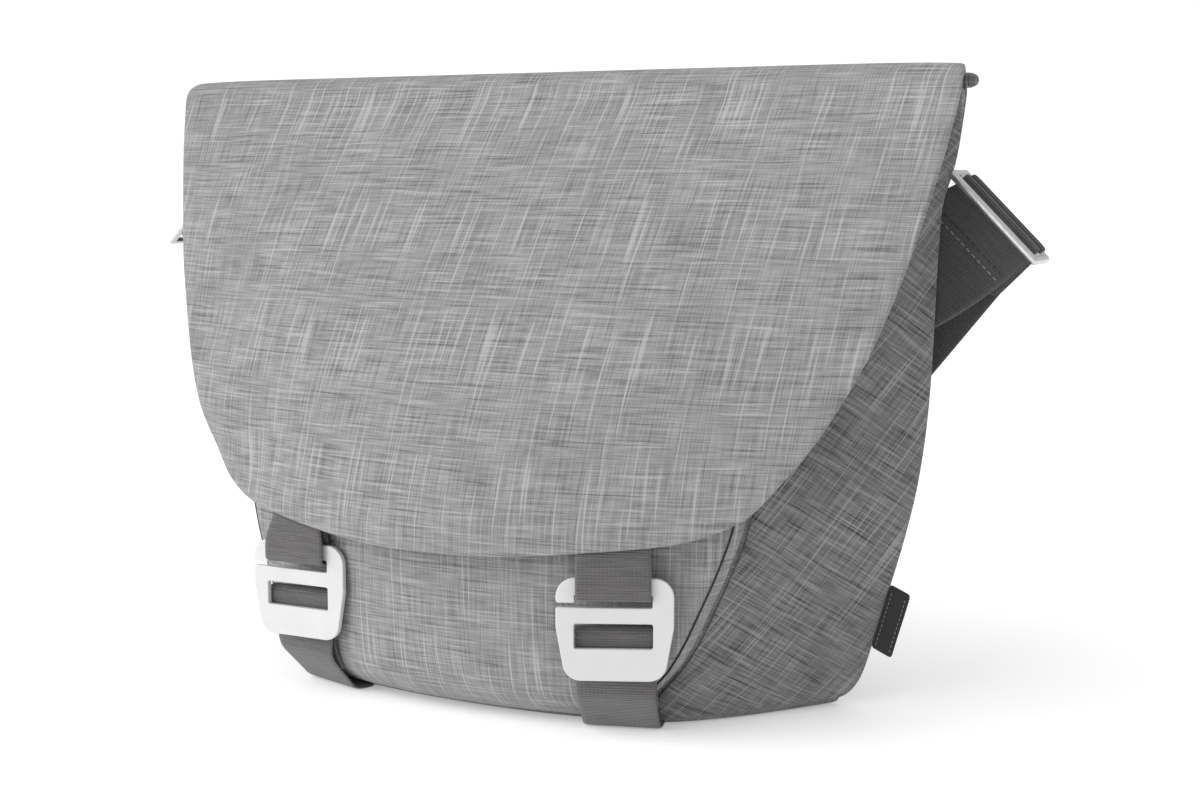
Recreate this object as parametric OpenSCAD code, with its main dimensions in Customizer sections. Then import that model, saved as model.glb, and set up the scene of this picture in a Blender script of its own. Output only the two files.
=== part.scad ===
// Messenger bag with a full-width flap, two webbing straps with flat G-hooks,
// a bellows pocket on the front and a shoulder strap that lies folded behind it.
// X is the width, the front faces -Y, Z is up and the bag stands on z = 0.

/* [Body] */
// Width of the back panel at the mouth
back_top_w = 428; // [400:2:440]
// Height of the body's sewn walls
body_h = 284; // [280:1:286]
// Thickness of the outer fabric
fabric_t = 2; // [1.5:0.1:2.5]
// Thickness of the foam in the back
foam_t = 6; // [4:0.5:7]

/* [Flap] */
// Radius of the rolled ridge over the mouth
ridge_r = 12.5; // [12:0.1:13]
// Height of the flap's lowest point above the floor
flap_low_z = 85; // [84:1:87]
// Radius of the rolled edge of the flap
edge_r = 2.0; // [1.8:0.1:2.4]

/* [Straps and hooks] */
// Distance of each front strap from the middle
strap_x = 90.5; // [84:0.5:94]
// Width of the front straps
strap_w = 38; // [36:1:38]
// Thickness of the webbing
web_t = 1.4; // [1:0.1:1.6]
// Height of the hooks' webbing bars
bar_z = 52; // [50:0.5:54]
// Thickness of a hook plate
hook_t = 3; // [2.6:0.1:3.2]
// Turn of each hook away from the front, in degrees
hook_yaw = 17; // [14:1:20]

/* [Shoulder strap] */
// Width of the shoulder strap
sling_w = 50; // [48:1:50]
// Thickness of the slider frames' bars
frame_bar = 4; // [3.6:0.1:4.2]

/* [Hidden] */
$fn = 48;
gap = 0.3;
floor_t = 2.5;
board_t = 3;
ridge_y = 38.5;
ridge_z = 301;
// [z, y] of the front panel's middle line, and its sideways bend
front_mid = [[2, -40], [15, -46], [40, -50], [90, -52], [150, -42], [200, -22], [250, 6], [290, 28]];
front_bend = [[2, 0.0017], [90, 0.0017], [150, 0.00144], [200, 0.0009], [250, 0.00034], [290, 0.00014]];
front_half = [[2, 118], [15, 122], [40, 128], [90, 140], [150, 158], [200, 176], [250, 195], [290, 208]];
back_y = [[0, 50], [150, 52], [305, 46]];
back_taper = [[0, 59], [5, 49], [15, 42], [40, 33.5], [66, 25], [90, 18], [116, 12], [150, 8], [305, 0]];
// the flap's middle line, its sideways bend and its half width
flap_mid = [[83, -79], [100, -77], [150, -58], [200, -32], [250, -3], [280, 14], [301, 26]];
flap_bend = [[83, 0.00175], [105, 0.00169], [140, 0.00115], [180, 0.00083], [220, 0.00051],
             [250, 0.0003], [280, 0.00012], [301, 0]];
flap_rise = [[0, 12], [1, 40], [3, 62], [6, 91], [10, 122], [15, 137], [21, 149]];
flap_half = [for (r = flap_rise) [flap_low_z + r[0], r[1]], [120, 162], [140, 177],
             [160, 188], [180, 197], [200, 204], [220, 210], [250, 217], [280, 223], [301, 226]];
pocket_off = [[5, 10], [20, 13], [100, 12], [160, 8]];
pocket_half = [[5, 114], [20, 122], [60, 129], [90, 136], [160, 146]];
wall_z = [3, 9, 16, 26, 40, 60, 80, 100, 125, 150, 175, 200, 225, 250, 270, body_h];
back_z = concat([for (z = wall_z) if (z < body_h) z], [290]);
across = [-1, -0.92, -0.8, -0.6, -0.4, -0.2, 0, 0.2, 0.4, 0.6, 0.8, 0.92, 1];

function front_y(x, z) = lookup(z, front_mid) + lookup(z, front_bend) * x * x;
function pocket_y(x, z) = front_y(x, z) - lookup(z, pocket_off);
function flap_y(x, z) = lookup(z, flap_mid) + lookup(z, flap_bend) * x * x;
function back_half(z) = back_top_w / 2 - lookup(z, back_taper);
function front_edge(z) = [lookup(z, front_half), front_y(lookup(z, front_half), z)];
function back_edge(z) = [back_half(z), lookup(z, back_y)];
function unit(v) = v / norm(v);

// A thin solid between two grids of points: columns run to the right and rows run up as
// seen from outside grid a.
module slab(a, b) {
    rows = len(a);
    cols = len(a[0]);
    inner = rows * cols;
    function at(i, j) = i * cols + j;
    points = [for (r = a) each r, for (r = b) each r];
    skin = [for (i = [0:rows - 2], j = [0:cols - 2]) each [
        [at(i, j), at(i + 1, j), at(i + 1, j + 1)],
        [at(i, j), at(i + 1, j + 1), at(i, j + 1)],
        [inner + at(i, j), inner + at(i + 1, j + 1), inner + at(i + 1, j)],
        [inner + at(i, j), inner + at(i, j + 1), inner + at(i + 1, j + 1)]]];
    ends = [for (j = [0:cols - 2]) each [
        [at(0, j), at(0, j + 1), inner + at(0, j + 1)],
        [at(0, j), inner + at(0, j + 1), inner + at(0, j)],
        [at(rows - 1, j + 1), at(rows - 1, j), inner + at(rows - 1, j)],
        [at(rows - 1, j + 1), inner + at(rows - 1, j), inner + at(rows - 1, j + 1)]]];
    sides = [for (i = [0:rows - 2]) each [
        [at(i + 1, 0), at(i, 0), inner + at(i, 0)],
        [at(i + 1, 0), inner + at(i, 0), inner + at(i + 1, 0)],
        [at(i, cols - 1), at(i + 1, cols - 1), inner + at(i + 1, cols - 1)],
        [at(i, cols - 1), inner + at(i + 1, cols - 1), inner + at(i, cols - 1)]]];
    polyhedron(points, concat(skin, ends, sides));
}

// A round cord swept along a path that never runs along the given side direction.
module tube(path, r, side = [0.3, 1, 0.35], n = 8) {
    last = len(path) - 1;
    function heading(i) = unit(path[min(i + 1, last)] - path[max(i - 1, 0)]);
    function u(i) = unit(cross(heading(i), side));
    function v(i) = cross(heading(i), u(i));
    points = [for (i = [0:last], k = [0:n - 1])
        path[i] + r * (cos(360 * k / n) * u(i) + sin(360 * k / n) * v(i))];
    walls = [for (i = [0:last - 1], k = [0:n - 1]) each [
        [i * n + k, (i + 1) * n + k, (i + 1) * n + (k + 1) % n],
        [i * n + k, (i + 1) * n + (k + 1) % n, i * n + (k + 1) % n]]];
    caps = [[for (k = [0:n - 1]) k], [for (k = [n - 1:-1:0]) last * n + k]];
    polyhedron(points, concat(walls, caps));
}

// A panel on the front surface, moved out by off(z), between heights and across fractions.
module front_sheet(zs, half, thick, off = 0, us = across) {
    outer = [for (z = zs) [for (u = us)
        let (x = u * lookup(z, half)) [x, front_y(x, z) - off, z]]];
    slab(outer, [for (row = outer) [for (p = row) p + [0, thick, 0]]]);
}

module back_panel() {
    color("dimgray") back_slab(back_z, 0, fabric_t, 6);
}

module back_slab(zs, depth, thick, inset) {
    outer = [for (z = zs) [for (u = [1, 0.5, 0, -0.5, -1])
        [u * (back_half(z) - inset), lookup(z, back_y) - depth, z]]];
    slab(outer, [for (row = outer) [for (p = row) p - [0, thick, 0]]]);
}

module back_padding() {
    color("gray") back_slab([16, 40, 90, 150, 200, 240, 262], fabric_t + gap, foam_t, 12);
}

// The body's plan outline at one height: insets from the front, the back and the side walls.
function body_outline(z, inset, back_inset, side_inset = 0) = concat(
    [for (u = across) let (x = u * (front_edge(z)[0] - inset - side_inset)) [x, front_y(x, z) + inset]],
    [[back_half(z) - inset - side_inset, lookup(z, back_y) - back_inset],
     [inset + side_inset - back_half(z), lookup(z, back_y) - back_inset]]);

module base_panel() {
    color("dimgray") linear_extrude(floor_t) polygon(body_outline(3, 0, 0));
}

module base_board() {
    color("black") translate([0, 0, floor_t + gap]) linear_extrude(board_t)
        polygon(body_outline(3, 14, 14));
}

module front_panel() {
    color("gray") front_sheet(wall_z, front_half, fabric_t, 0, 0.985 * across);
}

// The side wall from the front panel's edge to the back panel's edge.
module gusset() {
    ws = [0.04, 0.2, 0.4, 0.6, 0.8, 0.97];
    outer = [for (z = wall_z) [for (w = ws)
        let (f = front_edge(z), b = back_edge(z)) [each (f + w * (b - f)), z]]];
    inner = [for (i = [0:len(wall_z) - 1]) [for (p = outer[i])
        let (d = unit(back_edge(wall_z[i]) - front_edge(wall_z[i])))
        p - fabric_t * [d[1], -d[0], 0]]];
    slab(outer, inner);
}

module right_gusset() {
    color("dimgray") gusset();
}

module left_gusset() {
    color("dimgray") mirror([1, 0, 0]) gusset();
}

module mouth_binding() {
    z = body_h + 2.6;
    color("black") tube([for (u = across)
        let (x = u * 200) [x, front_y(x, body_h) + 1.8, z]], 1.8);
}

// A stack of flat outlines joined into one closed solid.
module loft(zs, inset, back_inset, side_inset) {
    n = len(across) + 2;
    top = len(zs) - 1;
    points = [for (z = zs) each [for (p = body_outline(z, inset, back_inset, side_inset)) [p[0], p[1], z]]];
    walls = [for (i = [0:top - 1], k = [0:n - 1]) each [
        [i * n + k, (i + 1) * n + k, (i + 1) * n + (k + 1) % n],
        [i * n + k, (i + 1) * n + (k + 1) % n, i * n + (k + 1) % n]]];
    caps = [[for (k = [0:n - 1]) k], [for (k = [n - 1:-1:0]) top * n + k]];
    polyhedron(points, concat(walls, caps));
}

module lining() {
    zs = [6.4, 16, 26, 40, 60, 90, 125, 150, 175, 200, 225, 250, 270, 280];
    color("darkslategray") difference() {
        loft(zs, 3.2, fabric_t + foam_t + 2 * gap, 12);
        loft(concat([7.4], [for (i = [1:len(zs) - 2]) zs[i]], [281]), 4.2, fabric_t + foam_t + 1.6, 13);
    }
}

pocket_z = [5, 12, 20, 34, 50, 70, 90, 110, 130, 148, 158];

function pocket_row(z, inset, lift) = [for (u = across)
    let (x = u * (lookup(z, pocket_half) - inset)) [x, pocket_y(x, z) + lift, z]];

module pocket_front() {
    color("gray") slab([for (z = pocket_z) pocket_row(z, 3, 0)],
        [for (z = pocket_z) pocket_row(z, 3, fabric_t)]);
}

// The pocket's side wall, from the front panel out to the pocket's front.
module pocket_side() {
    edge = [for (z = pocket_z) lookup(z, pocket_half)];
    outer = [for (i = [0:len(pocket_z) - 1]) [for (t = [1, 0.5, 0])
        let (z = pocket_z[i], x = edge[i]) [x - 2 * t, front_y(x, z) - 1 - t * (lookup(z, pocket_off) - 2), z]]];
    slab(outer, [for (row = outer) [for (p = row) p - [fabric_t, 0, 0]]]);
}

module pocket_right_side() {
    color("dimgray") difference() {
        pocket_side();
        slab([for (z = pocket_z) pocket_row(z, 2, -2)], [for (z = pocket_z) pocket_row(z, 2, fabric_t + 0.2)]);
    }
}

module pocket_left_side() {
    color("dimgray") mirror([1, 0, 0]) pocket_right_side();
}

// Piping around the pocket's sides and bottom.
module pocket_piping() {
    up = [for (i = [len(pocket_z) - 1:-1:1])
        let (x = lookup(pocket_z[i], pocket_half) - 1.2) [x, pocket_y(x, pocket_z[i]) + 0.8, pocket_z[i]]];
    low = [for (u = [0.97, 0.9, 0.75, 0.5, 0.25, 0, -0.25, -0.5, -0.75, -0.9, -0.97])
        let (x = u * 118) [x, pocket_y(x, 3.6) + 0.8, 3.6]];
    color("black") tube(concat(up, low, [for (i = [len(up) - 1:-1:0]) [-up[i][0], up[i][1], up[i][2]]]), 1);
}

module pocket_hem() {
    z = pocket_z[len(pocket_z) - 1];
    color("black") slab([for (h = [0.3, 5]) [for (p = pocket_row(z, 4, -0.5)) p + [0, h * 0.4, h]]],
        [for (h = [0.3, 5]) [for (p = pocket_row(z, 4, 2)) p + [0, h * 0.4, h]]]);
}

module laptop_sleeve() {
    color("slategray") back_slab([12, 60, 120, 180, 225], 11, 5, 44);
}

module organiser_pocket() {
    color("slategray") front_sheet([20, 60, 100, 140, 170], [[20, 95], [170, 110]], 1, -9);
}

// Place children at the front strap of one side: local y = 0 is the pocket's surface.
module at_strap(side) {
    translate([side * strap_x, pocket_y(strap_x, bar_z), 0]) rotate([0, 0, side * hook_yaw]) children();
}

ply_front = 6.7;
ply_back = 1.1;
bar_y = -4.6;
function strap_sag(z) = max(0, pocket_y(strap_x, z) - pocket_y(strap_x, bar_z)) * min(1, max(0, (30 - z) / 12));

// One flat run of the front strap at depth d, from height z0 to z1.
module strap_run(d, z0, z1) {
    zs = [for (i = [0:6]) z0 + (z1 - z0) * i / 6];
    outer = [for (z = zs) [for (x = [-strap_w / 2, 0, strap_w / 2])
        [x, strap_sag(z) - d - web_t, z]]];
    slab(outer, [for (row = outer) [for (p = row) p + [0, web_t, 0]]]);
}

// The webbing's fold over the hook's bar.
module strap_fold() {
    translate([0, bar_y, bar_z]) rotate([0, 90, 0]) difference() {
        cylinder(h = strap_w, r = ply_front + bar_y + web_t, center = true);
        cylinder(h = strap_w + 2, r = ply_front + bar_y, center = true);
        translate([10, 0, 0]) cube([20, 20, strap_w + 4], center = true);
    }
}

module front_strap(side) {
    color("dimgray") at_strap(side) {
        strap_fold();
        strap_run(ply_front, 18, bar_z + 0.01);
        strap_run(ply_back, 24, bar_z + 0.01);
        strap_run(ply_back + 0.4, 3, 18.5);
        translate([-strap_w / 2, -ply_front - web_t, 18]) cube([strap_w, ply_front - ply_back + web_t, web_t]);
    }
}

module strap_tail(side) {
    color("dimgray") at_strap(side) translate([4, -ply_front + 0.4, 30.5])
        cube([12, 3.4, 13]);
}

module left_strap() {
    front_strap(-1);
}

module right_strap() {
    front_strap(1);
}

module left_strap_tail() {
    strap_tail(-1);
}

module right_strap_tail() {
    strap_tail(1);
}

plate_y = -9.6 - hook_t;
hook_low = 30.5;
slot_low = hook_low + 34.5;
entry_h = 2.3;
arm_low = slot_low + 6.2;
arm_high = hook_low + 48.4;

module hook_outline() {
    difference() {
        hull() {
            for (s = [-1, 1]) {
                translate([s * 18.3, arm_high - 9]) circle(9);
                translate([s * 19.3, hook_low + 26]) circle(8);
                translate([s * 15.7, hook_low + 8.5]) circle(8.5);
            }
        }
        translate([-32, slot_low]) square([32, entry_h]);
        translate([-18.6, slot_low]) square([36, arm_low - slot_low]);
        translate([-18.9, hook_low + 15.1]) square([36.6, 11.9]);
    }
}

module hook(side) {
    color("white") at_strap(side) {
        translate([0, plate_y + hook_t, 0]) rotate([90, 0, 0]) linear_extrude(hook_t) hook_outline();
        translate([-23.5, bar_y, bar_z]) rotate([0, 90, 0]) cylinder(h = 47, r = 1.8);
        for (s = [-1, 1])
            translate([s * 21.8 - 1.7, plate_y + hook_t, bar_z - 1.8]) cube([3.4, bar_y - plate_y - hook_t, 3.6]);
    }
}

module left_hook() {
    hook(-1);
}

module right_hook() {
    hook(1);
}

loop_gap = 0.8;
loop_play = 3.2;
loop_w = 35;

// The flap's webbing loop: a loose ring around the hook's upper arm and a root under the flap.
module flap_loop(side) {
    ring_y = plate_y - loop_play - web_t;
    ring_low = arm_low - 2.7;
    ring_top = arm_high + loop_gap + web_t;
    back_wall = plate_y + hook_t + loop_gap;
    color("dimgray") at_strap(side) translate([-loop_w / 2 - 0.6, 0, 0]) rotate([90, 0, 90])
        linear_extrude(loop_w) difference() {
            union() {
                translate([ring_y, ring_low]) square([back_wall + web_t - ring_y, ring_top - ring_low]);
                translate([back_wall, ring_low]) square([web_t, 27]);
            }
            translate([ring_y + web_t, ring_low + web_t])
                square([back_wall - ring_y - web_t, ring_top - ring_low - 2 * web_t]);
        }
}

module left_loop() {
    flap_loop(-1);
}

module right_loop() {
    flap_loop(1);
}

// A point grid of the flap: the front below the ridge, then over the ridge to the back.
function flap_zs() = [for (i = [0:len(flap_half) - 2]) flap_half[i][0]];

function flap_grid(depth, inset) = concat(
    [for (z = flap_zs()) [for (u = across)
        let (x = u * (lookup(z, flap_half) - inset), zi = z + (z < 90 ? inset : inset * 0.5))
        [x, flap_y(x, zi) + depth, zi]]],
    [for (a = [180, 157.5, 135, 112.5, 90, 67.5, 45, 22.5, 0]) [for (u = across)
        [u * (226 - inset), ridge_y + (ridge_r - depth) * cos(a), ridge_z + (ridge_r - depth) * sin(a)]]]);

module flap_outer() {
    color("silver") slab(flap_grid(0, 2.6), flap_grid(1.8, 2.6));
}

module flap_lining() {
    color("darkslategray") slab(flap_grid(2.1, 4), flap_grid(3.2, 4));
}

module flap_binding() {
    zs = flap_zs();
    right = [for (i = [len(zs) - 1:-1:0]) let (x = lookup(zs[i], flap_half))
        [x, flap_y(x, zs[i]) + 1.2, zs[i]]];
    left = [for (i = [len(right) - 1:-1:0]) [-right[i][0], right[i][1], right[i][2]]];
    color("silver") difference() {
        tube(concat([[226, 27.6, ridge_z - 2]], right, left, [[-226, 27.6, ridge_z - 2]]), edge_r);
        slab(flap_grid(-0.2, 2.4), flap_grid(3.4, 2.4));
    }
}

// The seam that joins the flap to the back panel.
module top_seam() {
    color("dimgray") translate([-216, 47.4, 290.6]) cube([432, 2.4, ridge_z - 291.2]);
}

module side_label() {
    color("black") slab(
        [for (z = [31, 64]) [for (d = [0, 9]) [back_half(z) + 0.6 + d, 50.4 - fabric_t, z - 0.4 * d]]],
        [for (z = [31, 64]) [for (d = [0, 9]) [back_half(z) + 0.6 + d, 51.4 - fabric_t, z - 0.4 * d]]]);
}

// The shoulder strap's fittings point up and out at 45 degrees from each top corner.
fit_x = 236;
fit_y = 57;
fit_z = 243;
module at_fitting(side) {
    translate([side * fit_x, fit_y, fit_z]) rotate([0, side * 45, 0]) children();
}

// The anchor loop: local z points along the webbing and the frame's centre bar is at 0.
module anchor(side) {
    color("dimgray") at_fitting(side) {
        rotate([0, 0, 90]) rotate([90, 0, 0]) ring_half();
        for (s = [-1, 1]) translate([-sling_w / 2, s * 3.1 - web_t / 2, -42])
            cube([sling_w, web_t, 42.01]);
    }
}

// Half a ring of webbing around a bar along local x.
module ring_half() {
    difference() {
        cylinder(h = sling_w, r = 3.1 + web_t / 2, center = true);
        cylinder(h = sling_w + 2, r = 3.1 - web_t / 2, center = true);
        translate([0, -10, 0]) cube([20, 20, sling_w + 4], center = true);
    }
}

module left_anchor() {
    anchor(-1);
}

module right_anchor() {
    anchor(1);
}

// A rectangular frame with three round bars along local x.
module slider(side) {
    color("silver") at_fitting(side) {
        for (y = [-10, 0, 10]) translate([-28, y, 0]) rotate([0, 90, 0]) cylinder(h = 56, d = frame_bar);
        for (s = [-1, 1]) translate([s * 28, 0, 0]) {
            rotate([90, 0, 0]) cylinder(h = 20, d = frame_bar, center = true);
            for (y = [-10, 10]) translate([0, y, 0]) sphere(d = frame_bar);
        }
    }
}

module left_slider() {
    slider(-1);
}

module right_slider() {
    slider(1);
}

// The sewn end of the shoulder strap around the frame's rear bar, hanging down behind.
module strap_end(side) {
    color("dimgray") at_fitting(side) translate([0, 10, 0]) {
        rotate([0, 0, 90]) rotate([90, 0, 0]) ring_half();
        for (s = [-1, 1]) translate([-sling_w / 2, s * 3.1 - web_t / 2, -30])
            cube([sling_w, web_t, 30.01]);
    }
}

module left_strap_end() {
    strap_end(-1);
}

module right_strap_end() {
    strap_end(1);
}

// The loose strap drops behind the back panel and lies on the floor there: centre points
// and width directions from the right fitting to the left one.
sling_z = 4;
sling_y = 130;
sling_run = [[214, 67, 221], [190, 67.5, 197], [165, 69, 165], [141, 73, 127], [119, 80, 87],
             [99, 91, 49], [76, 108, 19], [52, 122, 7], [30, sling_y, sling_z], [-50, sling_y, sling_z],
             [-112, sling_y, sling_z], [-132, 128, 7], [-150, 120, 17], [-164, 107, 36], [-175, 92, 66],
             [-183, 80, 104], [-190, 72, 146], [-200, 68, 188], [-214, 67, 221]];
sling_dir = [[0.71, 0, -0.71], [0.71, 0, -0.71], [0.75, 0, -0.66], [0.84, 0.05, -0.54], [0.88, 0.2, -0.42],
             [0.8, 0.5, -0.33], [0.55, 0.8, -0.18], [0.25, 0.96, -0.05], [0, 1, 0], [0, 1, 0],
             [0, 1, 0], [0.1, 0.99, 0], [0.35, 0.93, 0.1], [0.6, 0.75, 0.2], [0.8, 0.5, 0.28],
             [0.9, 0.2, 0.34], [0.86, 0.05, 0.5], [0.75, 0, 0.66], [0.71, 0, 0.71]];

// A flat band along centre points, with a width direction at each.
module band(path, dirs, w, t) {
    last = len(path) - 1;
    function side(i) = unit(dirs[i]);
    function up(i) = unit(cross(path[min(i + 1, last)] - path[max(i - 1, 0)], side(i)));
    function row(i, h) = [for (k = [-0.5, 0.5]) path[i] + k * w * side(i) + h * t * up(i)];
    slab([for (i = [0:last]) row(i, -0.5)], [for (i = [0:last]) row(i, 0.5)]);
}

module shoulder_strap() {
    color("dimgray") band(sling_run, sling_dir, sling_w, web_t);
}

adjuster_x = -12;
adjuster_bar = 2.6;

// A stepped three-bar slide: the strap passes over its outer bars and under its middle bar.
module strap_adjuster() {
    reach = sling_w / 2 + 4;
    over = 2 * sling_z - adjuster_bar / 2;
    color("silver") translate([adjuster_x, sling_y, 0]) {
        for (s = [-1, 1]) {
            translate([s * 11, reach, adjuster_bar / 2]) rotate([90, 0, 0])
                cylinder(h = 2 * reach, d = adjuster_bar);
            translate([-12.3, s * reach - 1.3, 0]) cube([24.6, adjuster_bar, over + adjuster_bar / 2]);
        }
        translate([0, reach, over]) rotate([90, 0, 0]) cylinder(h = 2 * reach, d = adjuster_bar);
    }
}

back_panel();
back_padding();
base_panel();
base_board();
front_panel();
left_gusset();
right_gusset();
mouth_binding();
lining();
pocket_front();
pocket_left_side();
pocket_right_side();
pocket_piping();
pocket_hem();
laptop_sleeve();
organiser_pocket();
left_strap();
right_strap();
left_strap_tail();
right_strap_tail();
left_anchor();
right_anchor();
side_label();
top_seam();
shoulder_strap();
flap_outer();
flap_lining();
flap_binding();
left_loop();
right_loop();
left_hook();
right_hook();
left_slider();
right_slider();
left_strap_end();
right_strap_end();
strap_adjuster();
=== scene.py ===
import math
import random

import bpy
from mathutils import Matrix, Vector


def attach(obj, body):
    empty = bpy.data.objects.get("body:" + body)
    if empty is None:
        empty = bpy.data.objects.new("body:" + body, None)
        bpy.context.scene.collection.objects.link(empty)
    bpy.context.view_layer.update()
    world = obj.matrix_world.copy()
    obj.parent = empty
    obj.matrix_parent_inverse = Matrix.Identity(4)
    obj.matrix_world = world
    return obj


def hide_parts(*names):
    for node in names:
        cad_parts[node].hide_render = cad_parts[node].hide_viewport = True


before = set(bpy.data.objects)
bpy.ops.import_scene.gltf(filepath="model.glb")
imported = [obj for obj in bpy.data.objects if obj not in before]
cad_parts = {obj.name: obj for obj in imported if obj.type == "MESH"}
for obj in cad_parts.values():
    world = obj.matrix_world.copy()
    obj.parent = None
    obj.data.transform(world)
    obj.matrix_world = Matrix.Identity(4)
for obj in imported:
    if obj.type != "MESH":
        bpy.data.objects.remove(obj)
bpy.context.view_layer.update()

random.seed(7)
MM = 0.001

# ---------------------------------------------------------------- the bag's profile, in mm
# [height, value] pairs, read by a smooth curve.
FRONT_MID = [(2, -40), (15, -46), (40, -50), (90, -52), (150, -42), (200, -22), (250, 6), (290, 28)]
FRONT_BEND = [(2, 0.0017), (90, 0.0017), (150, 0.00144), (200, 0.0009), (250, 0.00034), (290, 0.00014)]
FRONT_HALF = [(2, 118), (15, 122), (40, 128), (90, 140), (150, 158), (200, 176), (250, 195), (290, 208)]
BACK_Y = [(0, 50), (150, 52), (305, 46)]
BACK_HALF = [(0, 157), (5, 168), (15, 175.5), (40, 183), (66, 190.5), (90, 197), (116, 202.5), (150, 206.5),
             (250, 212), (259, 215.5), (272, 219), (301, 223)]
FLAP_MID = [(83, -79), (100, -77), (150, -58), (200, -32), (250, -3), (280, 14), (301, 26)]
FLAP_BEND = [(83, 0.00175), (105, 0.00169), (140, 0.00115), (180, 0.00083), (220, 0.00051),
             (250, 0.0003), (280, 0.00012), (301, 0)]
FLAP_HALF = [(85, 12), (86, 40), (88, 62), (91, 91), (95, 122), (100, 137), (106, 149), (120, 162),
             (140, 177), (160, 188), (180, 197), (200, 204), (220, 210), (250, 217), (280, 223), (301, 226)]
POCKET_OFF = [(5, 10), (20, 13), (100, 12), (160, 8)]
POCKET_HALF = [(3, 93), (14, 99), (24, 107.5), (31, 113.5), (44, 121), (60, 128), (84, 137.5), (101, 142.3),
               (160, 149)]
BODY_TOP = 284
RIDGE_R, RIDGE_Y, RIDGE_Z = 12.5, 38.5, 301
STRAP_X, STRAP_W, WEB_T = 90.5, 38, 1.4
BAR_Z, BAR_Y, HOOK_T, STRAP_YAW = 52, -4.6, 3, 17
HOOK_LOW = 30.5
# for each side: the hook's turn in degrees, its stand-off and its shift along the strap's width
HANG = {-1: (18, 0, 9), 1: (8, -1.2, 0)}
SLING_W = 50
FIT = Vector((236, 57, 243))


def slopes(table):
    """Tangents for a smooth curve that never overshoots its points."""
    n = len(table)
    d = [(table[i + 1][1] - table[i][1]) / (table[i + 1][0] - table[i][0]) for i in range(n - 1)]
    out = [d[0]]
    for i in range(1, n - 1):
        same = d[i - 1] * d[i] > 0
        out.append(2 * d[i - 1] * d[i] / (d[i - 1] + d[i]) if same else 0.0)
    return out + [d[-1]]


TANGENTS = {}


def at(table, t):
    """The table's value at t on its smooth curve."""
    key = id(table)
    if key not in TANGENTS:
        TANGENTS[key] = slopes(table)
    m = TANGENTS[key]
    if t <= table[0][0]:
        return table[0][1]
    if t >= table[-1][0]:
        return table[-1][1]
    i = max(k for k in range(len(table) - 1) if table[k][0] <= t)
    h = table[i + 1][0] - table[i][0]
    s = (t - table[i][0]) / h
    return ((2 * s ** 3 - 3 * s ** 2 + 1) * table[i][1] + (s ** 3 - 2 * s ** 2 + s) * h * m[i]
            + (3 * s ** 2 - 2 * s ** 3) * table[i + 1][1] + (s ** 3 - s ** 2) * h * m[i + 1])


def front_y(x, z):
    return at(FRONT_MID, z) + at(FRONT_BEND, z) * x * x


def pocket_y(x, z):
    return front_y(x, z) - at(POCKET_OFF, z)


def flap_y(x, z):
    return at(FLAP_MID, z) + at(FLAP_BEND, z) * x * x


def spread(lo, hi, n):
    """n values from lo to hi."""
    return [lo + (hi - lo) * i / (n - 1) for i in range(n)]


def make_node(tree, kind, inputs=None, **settings):
    node = tree.nodes.new(kind)
    for key, value in settings.items():
        setattr(node, key, value)
    for key, value in (inputs or {}).items():
        if isinstance(value, bpy.types.NodeSocket):
            tree.links.new(value, node.inputs[key])
        else:
            node.inputs[key].default_value = value
    return node


def start_material(name, roughness, metallic=0.0, sheen=0.0, coat=0.0, coat_rough=0.2, specular=0.5):
    mat = bpy.data.materials.new(name)
    mat.use_nodes = True
    tree = mat.node_tree
    shader = tree.nodes["Principled BSDF"]
    shader.inputs["Roughness"].default_value = roughness
    shader.inputs["Metallic"].default_value = metallic
    shader.inputs["Sheen Weight"].default_value = sheen
    shader.inputs["Sheen Roughness"].default_value = 0.6
    shader.inputs["Coat Weight"].default_value = coat
    shader.inputs["Coat Roughness"].default_value = coat_rough
    shader.inputs["Specular IOR Level"].default_value = specular
    return mat, tree, shader


def scaled(tree, source, scale):
    return make_node(tree, "ShaderNodeVectorMath", {0: source, 1: scale}, operation="MULTIPLY").outputs[0]


def noise(tree, vector, scale, detail=2.0, rough=0.5, distortion=0.0):
    return make_node(tree, "ShaderNodeTexNoise", {"Vector": vector, "Scale": scale, "Detail": detail,
                     "Roughness": rough, "Distortion": distortion}).outputs["Fac"]


def math_node(tree, operation, a, b=0.0, c=None):
    inputs = {0: a, 1: b}
    if c is not None:
        inputs[2] = c
    return make_node(tree, "ShaderNodeMath", inputs, operation=operation).outputs[0]


def ramp(tree, value, low, high, to_low=0.0, to_high=1.0):
    return make_node(tree, "ShaderNodeMapRange", {"Value": value, "From Min": low, "From Max": high,
                     "To Min": to_low, "To Max": to_high}).outputs[0]


def mix(tree, factor, a, b):
    node = make_node(tree, "ShaderNodeMix", data_type="RGBA")
    for socket, value in ((0, factor), (6, a), (7, b)):
        if isinstance(value, bpy.types.NodeSocket):
            tree.links.new(value, node.inputs[socket])
        else:
            node.inputs[socket].default_value = value
    return node.outputs[2]


def grey(level, warm=0.0):
    return (level * (1 + warm), level, level * (1 + warm * 0.6), 1)


def finish_material(tree, shader, colour, rough=None, height=None, strength=0.3, depth=0.0004):
    tree.links.new(colour, shader.inputs["Base Color"])
    if rough is not None:
        tree.links.new(rough, shader.inputs["Roughness"])
    if height is not None:
        bump = make_node(tree, "ShaderNodeBump", {"Strength": strength, "Distance": depth, "Height": height})
        tree.links.new(bump.outputs[0], shader.inputs["Normal"])


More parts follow.
